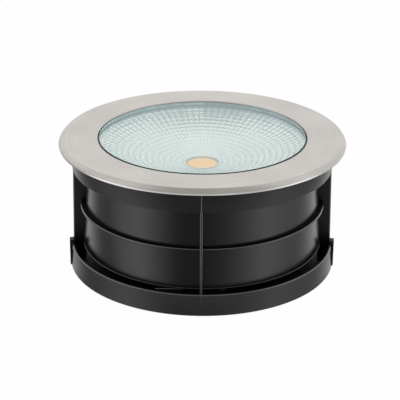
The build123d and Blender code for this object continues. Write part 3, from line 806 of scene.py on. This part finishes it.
cut = bmesh.ops.subdivide_edges(dish_bm, edges=borders, cuts=GRID_CUTS, use_grid_fill=True)
inner = [g for g in cut["geom_inner"] if isinstance(g, bmesh.types.BMVert)]
dish_bm.normal_update()
raised = 0
for vert in inner:
    ring, column = facet_place(vert)
    pillow = (1 - (2 * ring - 1) ** 2) * (1 - (2 * column - 1) ** 2)
    width = min(RING_STEP, vert.co.xy.length / MM * COLUMN_ANGLE)
    lift = CUSHION * width * pillow * MM
    if lift > LEAST_LIFT:
        vert.co += vert.normal * lift
        raised += 1
for facet_face in dish_bm.faces:
    facet_face.smooth = True
set_slots(dish_bm, dish_slot)
dish_bm.normal_update()
reflector_dish = make_piece(
    "reflector_dish", dish_bm, "lamp", "bright_reflector", reflector_bright, reflector_rim)
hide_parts("reflector")
print("cushion points raised:", raised)

# %% [markdown]
# ## The creases
# The creases between the cushions trap light and look a shade darker. Real grooves would take
# many thousand faces, so the finish gets a mask that finds them: the share of the way across a
# ring and across a column. Both kinds of crease get darker towards the rim, where the
# facets are larger.

# %% Creases
RING_INSIDE, RING_SHADE, RING_DEPTHS = 0.36, 0.86, (28, 60, 0.5)
COLUMN_INSIDE, COLUMN_SHADE, COLUMN_DEPTHS = 0.16, 0.72, (62, 86, 0.45)
COOLER = 0.01
COLOUR_A, COLOUR_B, COLOUR_OUT = 6, 7, 2  # a Mix node's colour sockets


def crease_share(tree, value, start, step, inside):
    """How near a value lies to a border of its step: 0 well inside, 1 at the border."""
    steps = calculate(tree, "DIVIDE", calculate(tree, "SUBTRACT", value, start), step)
    off_middle = calculate(tree, "SUBTRACT", calculate(tree, "FRACT", steps), 0.5)
    off_middle = calculate(tree, "ABSOLUTE", off_middle)
    return spread(tree, off_middle, start=inside, end=0.5, curve="SMOOTHSTEP")


def darken(tree, share, shade):
    """Multiply the base colour by a slightly cool shade where a share is high."""
    base = tree.nodes["Principled BSDF"].inputs["Base Color"]
    mix = add_node(tree, "ShaderNodeMix", {"data_type": "RGBA", "blend_type": "MULTIPLY"})
    join(tree, share, mix.inputs["Factor"])
    join(tree, base.links[0].from_socket, mix.inputs[COLOUR_A])
    mix.inputs[COLOUR_B].default_value = (shade, shade + COOLER, shade + 2 * COOLER, 1)
    join(tree, mix.outputs[COLOUR_OUT], base)


for material in (reflector_bright, reflector_rim):
    tree = material.node_tree
    x, y, _ = place_on(tree)
    radius = calculate(tree, "SQRT", squared_radius(tree, x, y))
    angle = calculate(tree, "ARCTAN2", y, x)
    rings = crease_share(tree, radius, FACET_IN * MM, RING_STEP * MM, RING_INSIDE)
    columns = crease_share(tree, angle, 0.0, COLUMN_ANGLE, COLUMN_INSIDE)
    for share, shade, (start, end, least) in (
            (rings, RING_SHADE, RING_DEPTHS), (columns, COLUMN_SHADE, COLUMN_DEPTHS)):
        depth = spread(tree, radius, least, 1.0, start * MM, end * MM, "SMOOTHSTEP")
        darken(tree, calculate(tree, "MULTIPLY", share, depth), shade)
print("creases every", RING_STEP, "mm and", round(math.degrees(COLUMN_ANGLE), 2), "degrees")

# %% [markdown]
# ## The sleeve
# The sleeve is moulded: a slightly tapered tube with a wide collar on top, a thin stiffening hoop
# round its middle and a base ring that stands off from the tube. No moulded edge is truly
# sharp. The rounds are small, yet they catch the light and draw every edge of the black shape,
# so each corner that shows gets one. After the turning, faces are told apart by place and by
# which way they look, and each gets its gloss: rounds facing up and out get a painted highlight,
# and ledges facing straight up get painted shade.

# %% Sleeve tube
COLLAR_BOTTOM, COLLAR_TOP, COLLAR_FLOOR = 90.7, 112.0, 93.2
COLLAR_OUT, COLLAR_IN = 113.7, 111.2
TUBE_BOTTOM, BEAD_TOP, HOOP_LOW, HOOP_HIGH, HOOP_OUT = 18.5, 19.7, 54.0, 56.2, 107.35
LEDGE_TILT, EDGE_TILT = 0.97, 0.15
BEAD_ZONE = (18.4, 20.0)


def sleeve_gloss(face):
    """0 glossy tube, 1 satin collar, 2 edge with a painted highlight, 3 ledge with painted shade.
    """
    middle = face.calc_center_median()
    height = middle.z / MM
    if face.normal.z > LEDGE_TILT:
        return 3
    outwards = face.normal.xy.dot(middle.xy) > 0
    on_bead = BEAD_ZONE[0] < height < BEAD_ZONE[1]
    if outwards and face.normal.z > EDGE_TILT and not on_bead:
        return 2
    return 1 if height > COLLAR_BOTTOM else 0


tube_bm = turn_outline([
    (COLLAR_OUT, COLLAR_BOTTOM, 0.8), (COLLAR_OUT, COLLAR_TOP, 0.4), (COLLAR_IN, COLLAR_TOP, 0.4),
    (COLLAR_IN, COLLAR_FLOOR), (98.35, COLLAR_FLOOR), (102.5, TUBE_BOTTOM, 0.3),
    (105.5, TUBE_BOTTOM, 0.35), (105.5, BEAD_TOP, 0.45), (104.93, BEAD_TOP), (102.89, HOOP_LOW),
    (HOOP_OUT, HOOP_LOW, 0.7), (HOOP_OUT, HOOP_HIGH, 0.7), (102.75, HOOP_HIGH),
    (100.7, COLLAR_BOTTOM)])
set_slots(tube_bm, sleeve_gloss)
set_shading(tube_bm)
sleeve_tube = make_piece(
    "sleeve_tube", tube_bm, "sleeve", "sleeve_plastic",
    sleeve_black, sleeve_satin, edge_painted_highlight, ledge_painted_shade)
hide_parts("sleeve")

# %% [markdown]
# ## The base ring
# The ring under the tube leans outwards to its foot. Where the drain cover's two clips pass
# under it, the ring has shallow notches. The outline carries an extra corner at the height of
# the notch and two cuts with Bisect mark its sides, so that the faces there can simply be
# deleted. Bridge then closes the top of each notch and Fill its two ends.

# %% Base ring
RING_TOP, NOTCH_TOP = 18.3, 2.9
NOTCH_FRONT, NOTCH_BACK = -18.7, 1.1
RING_FOOT, RING_HEAD, RING_WALL = 116.8, 115.3, 2.4
BELOW_NOTCH, AT_NOTCH = NOTCH_TOP - 0.5, NOTCH_TOP - 0.1


def ring_radius(height):
    """Outer radius of the base ring at a height."""
    return RING_FOOT + (RING_HEAD - RING_FOOT) * height / RING_TOP


def in_notch(face):
    """Whether a face of the ring stands in the way of a clip."""
    middle = face.calc_center_median() / MM
    return middle.z < BELOW_NOTCH and NOTCH_FRONT < middle.y < NOTCH_BACK


ring_bm = turn_outline([
    (RING_FOOT - RING_WALL, 0), (RING_FOOT, 0), (ring_radius(NOTCH_TOP), NOTCH_TOP),
    (RING_HEAD, RING_TOP, 0.8), (RING_HEAD - RING_WALL, RING_TOP, 0.5),
    (ring_radius(NOTCH_TOP) - RING_WALL, NOTCH_TOP)])
for cut_place in (NOTCH_FRONT, NOTCH_BACK):
    bmesh.ops.bisect_plane(
        ring_bm, geom=ring_bm.verts[:] + ring_bm.edges[:] + ring_bm.faces[:],
        plane_co=(0, cut_place * MM, 0), plane_no=(0, 1, 0))
bmesh.ops.delete(ring_bm, geom=[f for f in ring_bm.faces if in_notch(f)], context="FACES")
for side in (-1, 1):
    rim = [e for e in ring_bm.edges if e.is_boundary and side * e.verts[0].co.x > 0]
    roof = [e for e in rim if all(v.co.z / MM > AT_NOTCH for v in e.verts)]
    bmesh.ops.bridge_loops(ring_bm, edges=roof)
bmesh.ops.holes_fill(ring_bm, edges=[e for e in ring_bm.edges if e.is_boundary], sides=0)
bmesh.ops.recalc_face_normals(ring_bm, faces=ring_bm.faces[:])
set_slots(ring_bm, sleeve_gloss)
set_shading(ring_bm)
print("open edges left:", sum(e.is_boundary for e in ring_bm.edges))
make_piece(
    "base_ring", ring_bm, "sleeve", "sleeve_plastic",
    ring_satin_painted_lighter, ring_satin_painted_lighter, edge_painted_highlight, ledge_painted_shade)

# %% [markdown]
# ## Pads behind the clips
# The ring leans in towards its top and the clips of the drain cover stand upright, so each clip
# rests against a moulded pad that fills the wedge between them. It is a short piece of the lathe
# work: the wedge is spun through the width of the clip only, and Fill closes its two ends.

# %% Clip pads
CLIP_INNER, CLIP_LEAD, CLIP_SPREAD, FINGER_SPREAD = 116.85, 4.3, 4.5, 1.5
PAD_BOTTOM, FINGER_BOTTOM, PAD_TOP, PAD_ROOT, PAD_STEPS = 0.6, 12.9, 17.9, 0.4, 6
PAD_RUNS = (
    (PAD_BOTTOM, FINGER_BOTTOM, CLIP_SPREAD), (FINGER_BOTTOM, PAD_TOP, FINGER_SPREAD))

pads_bm = bmesh.new()
for middle_angle in (-CLIP_LEAD, 180 + CLIP_LEAD):
    for low, high, half in PAD_RUNS:
        wedge = [
            (ring_radius(low) - PAD_ROOT, low), (CLIP_INNER, low), (CLIP_INNER, high),
            (ring_radius(high) - PAD_ROOT, high)]
        start_turn = Matrix.Rotation(math.radians(middle_angle - half), 3, "Z")
        verts = [pads_bm.verts.new(start_turn @ Vector((r * MM, 0, h * MM))) for r, h in wedge]
        edges = [pads_bm.edges.new((verts[k - 1], verts[k])) for k in range(len(verts))]
        bmesh.ops.spin(
            pads_bm, geom=verts + edges, cent=(0, 0, 0), axis=(0, 0, 1),
            angle=math.radians(2 * half), steps=PAD_STEPS)
bmesh.ops.holes_fill(pads_bm, edges=[e for e in pads_bm.edges if e.is_boundary], sides=4)
bmesh.ops.recalc_face_normals(pads_bm, faces=pads_bm.faces[:])
set_shading(pads_bm)
make_piece("clip_pads", pads_bm, "sleeve", "sleeve_plastic", cover_black)

# %% [markdown]
# ## The fins
# Four upright fins stiffen the sleeve between collar and base ring. One outline is extruded to
# the fin's thickness and turned to its place, four times. An edge bevel then rounds the long
# outer edges so far that the nose of each fin is nearly half round. That nose mirrors the bright
# sides of the room, and it gets the edge finish whose paler colour is a painted highlight, so
# the fin shows as a light strip on the dark front.

# %% Fins
FIN_THICKNESS, NOSE_ROUND, NOSE_FROM = 2.3, 1.05, 113.0
FIN_TURN = math.radians(-0.4)
FIN_OUTLINE = [
    (103.7, 2.9), (114.7, 2.9), (114.7, 18.3), (113.6, 93.2), (99.6, 93.2), (103.7, 18.6)]
LONG_EDGE, STEEP_TILT = 1.0, 0.5


def is_nose(edge):
    """Whether an edge is one of the long outer edges of a fin."""
    ends = [vert.co / MM for vert in edge.verts]
    outside = min(end.xy.length for end in ends) > NOSE_FROM
    return outside and abs(ends[0].z - ends[1].z) > LONG_EDGE


def fin_slot(face):
    """0 side of a fin, 1 nose with a painted highlight."""
    outside = face.calc_center_median().xy.length / MM > NOSE_FROM
    return int(outside and abs(face.normal.z) < STEEP_TILT)


fins_bm = bmesh.new()
for quarter in range(4):
    near_verts = [
        fins_bm.verts.new((radius * MM, -FIN_THICKNESS / 2 * MM, height * MM))
        for radius, height in FIN_OUTLINE]
    grown = bmesh.ops.extrude_face_region(fins_bm, geom=[fins_bm.faces.new(near_verts)])
    far_verts = [g for g in grown["geom"] if isinstance(g, bmesh.types.BMVert)]
    bmesh.ops.translate(fins_bm, verts=far_verts, vec=(0, FIN_THICKNESS * MM, 0))
    bmesh.ops.rotate(
        fins_bm, verts=near_verts + far_verts, cent=(0, 0, 0),
        matrix=Matrix.Rotation(quarter * math.pi / 2 + FIN_TURN, 3, "Z"))
bmesh.ops.recalc_face_normals(fins_bm, faces=fins_bm.faces[:])
bmesh.ops.bevel(
    fins_bm, geom=[e for e in fins_bm.edges if is_nose(e)], offset=NOSE_ROUND * MM,
    offset_type="OFFSET", affect="EDGES", segments=4, profile=0.5, material=-1)
set_slots(fins_bm, fin_slot)
set_shading(fins_bm)
make_piece("sleeve_fins", fins_bm, "sleeve", "sleeve_plastic", cover_black, edge_painted_highlight)

# %% [markdown]
# ## Mould parting lines
# Where the halves of the mould met, a hair-thin ridge runs down the collar and the base ring, in
# line with the front fin, and again at the back. It is less than a millimetre wide, yet it is
# the one bright upright line on the black collar: the ridge on the collar is painted grey as a
# painted highlight, and the one on the ring gets the edge finish with its painted highlight.
# A thin cube is enough: scaled to size, leaned to the slope of the wall, and its edges rounded
# until it is nearly half round.

# %% Parting lines
RIDGE_CREASE = math.radians(50)
PARTING_WIDTH, COLLAR_PROUD, RING_PROUD = 0.75, 0.30, 0.22
COLLAR_RUN, RING_RUN = (91.2, 111.5), (0.7, 17.3)
ROUND_SHARE = 0.9


def ridge(bm, start, end, width, proud):
    """Half-round ridge of a width between two points in mm, standing proud of them."""
    start, end = Vector(start) * MM, Vector(end) * MM
    lean = Vector((0, 0, 1)).rotation_difference(end - start).to_matrix()
    made = bmesh.ops.create_cube(bm, size=1.0)["verts"]
    bmesh.ops.scale(bm, verts=made, vec=(width * MM, 2 * proud * MM, (end - start).length))
    bmesh.ops.rotate(bm, verts=made, cent=(0, 0, 0), matrix=lean)
    bmesh.ops.translate(bm, verts=made, vec=(start + end) / 2)
    bmesh.ops.bevel(
        bm, geom=[e for e in bm.edges if e.verts[0] in made],
        offset=ROUND_SHARE * min(proud, width / 2) * MM, offset_type="OFFSET", affect="EDGES",
        segments=3, profile=0.5, material=-1)


parting_bm = bmesh.new()
ridge(parting_bm, *[(0, -COLLAR_OUT, z) for z in COLLAR_RUN], PARTING_WIDTH, COLLAR_PROUD)
set_slots(parting_bm, lambda face: 1)
ridge(parting_bm, *[(0, -ring_radius(z), z) for z in RING_RUN], PARTING_WIDTH, RING_PROUD)
front_turn = Matrix.Rotation(FIN_TURN, 3, "Z")
bmesh.ops.rotate(parting_bm, verts=parting_bm.verts[:], cent=(0, 0, 0), matrix=front_turn)
front_half = parting_bm.verts[:] + parting_bm.edges[:] + parting_bm.faces[:]
copied = bmesh.ops.duplicate(parting_bm, geom=front_half)["geom"]
bmesh.ops.rotate(
    parting_bm, verts=[g for g in copied if isinstance(g, bmesh.types.BMVert)], cent=(0, 0, 0),
    matrix=Matrix.Rotation(math.pi, 3, "Z"))
bmesh.ops.recalc_face_normals(parting_bm, faces=parting_bm.faces[:])
set_shading(parting_bm, RIDGE_CREASE)
make_piece("parting_lines", parting_bm, "sleeve", "sleeve_plastic", edge_painted_highlight, flash_painted_highlight)

# %% [markdown]
# ## The edge of the cable guide
# Behind the base ring stands the low wall that guides the cable. Only its top shows, as a thin
# light line with a dark gap at the notch. A moulded edge is round, and the round is what catches
# the light, so each run of the wall gets a bead along its upper front edge.

# %% Guide bead
WALL_FRONT, WALL_TOP = -101.35, 17.15
WALL_RUNS = ((-39.0, -15.6), (-8.4, 19.7))
BEAD_WIDTH, BEAD_PROUD = 1.2, 0.55

bead_bm = bmesh.new()
for run in WALL_RUNS:
    ridge(bead_bm, *[(x, WALL_FRONT, WALL_TOP) for x in run], BEAD_WIDTH, BEAD_PROUD)
bmesh.ops.recalc_face_normals(bead_bm, faces=bead_bm.faces[:])
set_shading(bead_bm, RIDGE_CREASE)
# The bead's edge finish paints a highlight on it.
make_piece("guide_bead", bead_bm, "sleeve", "sleeve_plastic", edge_painted_highlight)

# %% [markdown]
# ## Finishes for the CAD nodes
# Most nodes keep their CAD shape and only get a finish. A CAD mesh may not be changed, but its
# material slots may, so each slot is pointed at the new material. The four nodes that a
# new piece stands for are hidden, and still get the finish of that piece.

# %% Node finishes
NODE_FINISH = {
    "face_ring": stainless, "glass_lens": lens_glass, "reflector": reflector_bright,
    "sleeve": sleeve_black, "drain_cover": cover_black, "glass_gasket": clear_silicone,
    "body_seal": seal_rubber, "seat_gasket": seal_rubber, "cover_gasket": seal_rubber,
    "gland_seal": seal_rubber, "gland_washer": seal_rubber,
    "lamp_housing": cast_alloy, "rear_cover": cast_alloy,
    "cob_phosphor": phosphor, "cob_board": led_board, "cob_holder": holder_white,
    "thermal_pad": pad_grey, "led_driver": driver_case, "terminal_block": terminal_white,
    "holder_screws": screw_steel, "face_screws": screw_steel, "driver_screws": screw_steel,
    "terminal_screws": screw_steel, "cover_screws": screw_steel, "spring_screws": screw_steel,
    "gland_body": gland_black, "gland_nut": gland_black, "lock_nut": gland_black,
    "retaining_spring_1": spring_steel, "retaining_spring_2": spring_steel,
    "retaining_spring_3": spring_steel,
}
for node_name, finish in NODE_FINISH.items():
    node_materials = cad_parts[node_name].data.materials
    if not node_materials:
        node_materials.append(finish)
    for number in range(len(node_materials)):
        node_materials[number] = finish
bare = sorted(set(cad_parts) - set(NODE_FINISH))
print("nodes with a finish:", len(NODE_FINISH), "left bare:", bare)
